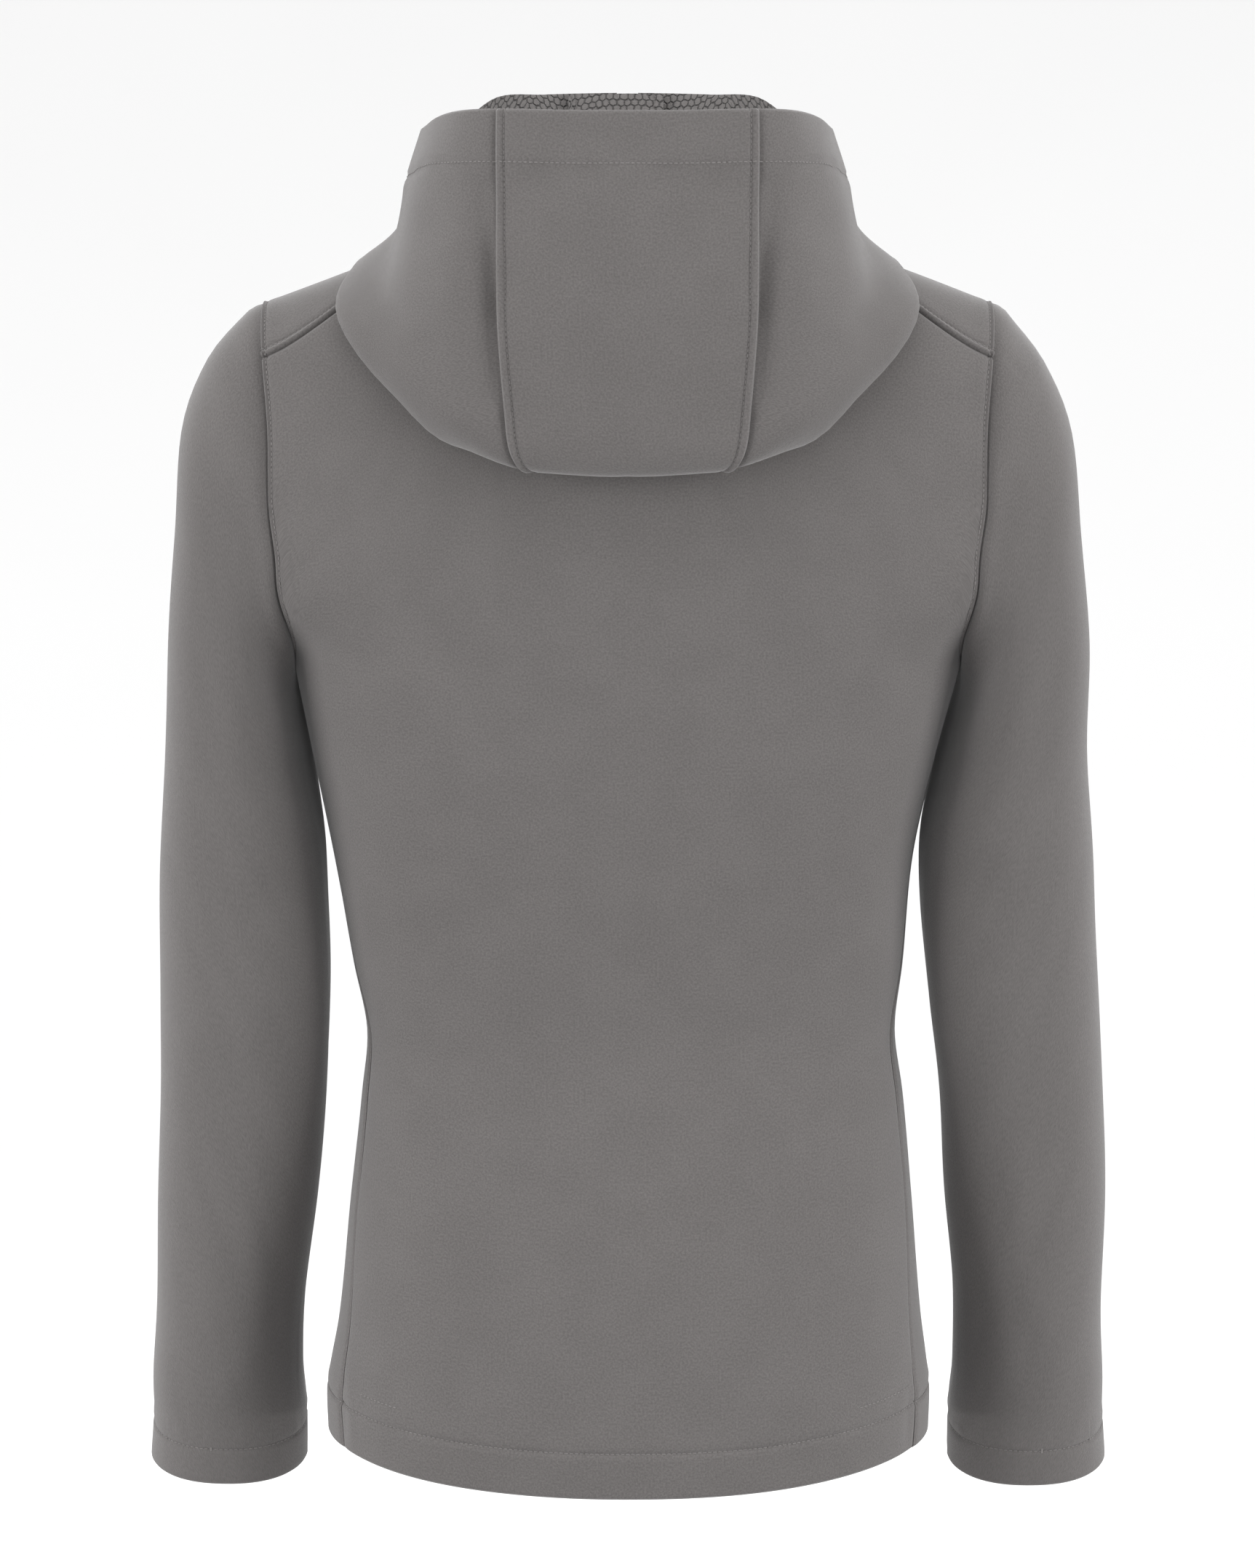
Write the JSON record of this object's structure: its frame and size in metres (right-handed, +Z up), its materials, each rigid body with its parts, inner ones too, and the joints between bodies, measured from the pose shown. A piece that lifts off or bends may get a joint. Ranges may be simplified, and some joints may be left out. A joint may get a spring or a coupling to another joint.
{
  "type": "hooded jacket",
  "caption": "Waisted hooded softshell jacket with a fleece inside, standing hollow in its worn shape, hood down, front zip closed to the collar top.",
  "frame": {"origin": "middle of the neck at the height of the shoulder points beside it, where the wearer's shoulders hold the jacket", "axes": "+Z up from hem to collar, +Y towards the jacket's back, +X towards the wearer's left sleeve"},
  "size_m": [0.5255, 0.2535, 0.7535],
  "materials": {
    "shell": "matte heathered warm grey softshell, honeycomb fleece inside",
    "tape": "matte woven tape",
    "zip": "satin dark grey"
  },
  "bodies": {
    "jacket": {"back": "shell", "front_left": "shell", "front_right": "shell", "sleeve_left": "shell", "sleeve_right": "shell", "hood_centre": "shell", "hood_side_left": "shell", "hood_side_right": "shell", "storm_flap": "shell", "zip_tape_left": "tape", "zip_tape_right": "tape", "zip_slider": "zip"},
    "pull": {"zip_pull": "zip"}
  },
  "joints": [
    {"name": "pull_swing", "type": "hinge", "parent": "jacket", "child": "pull", "pos_m": [0, -0.09314, 0.054], "axis": [-1, 0, 0], "range_deg": [0, 165]}
  ]
}
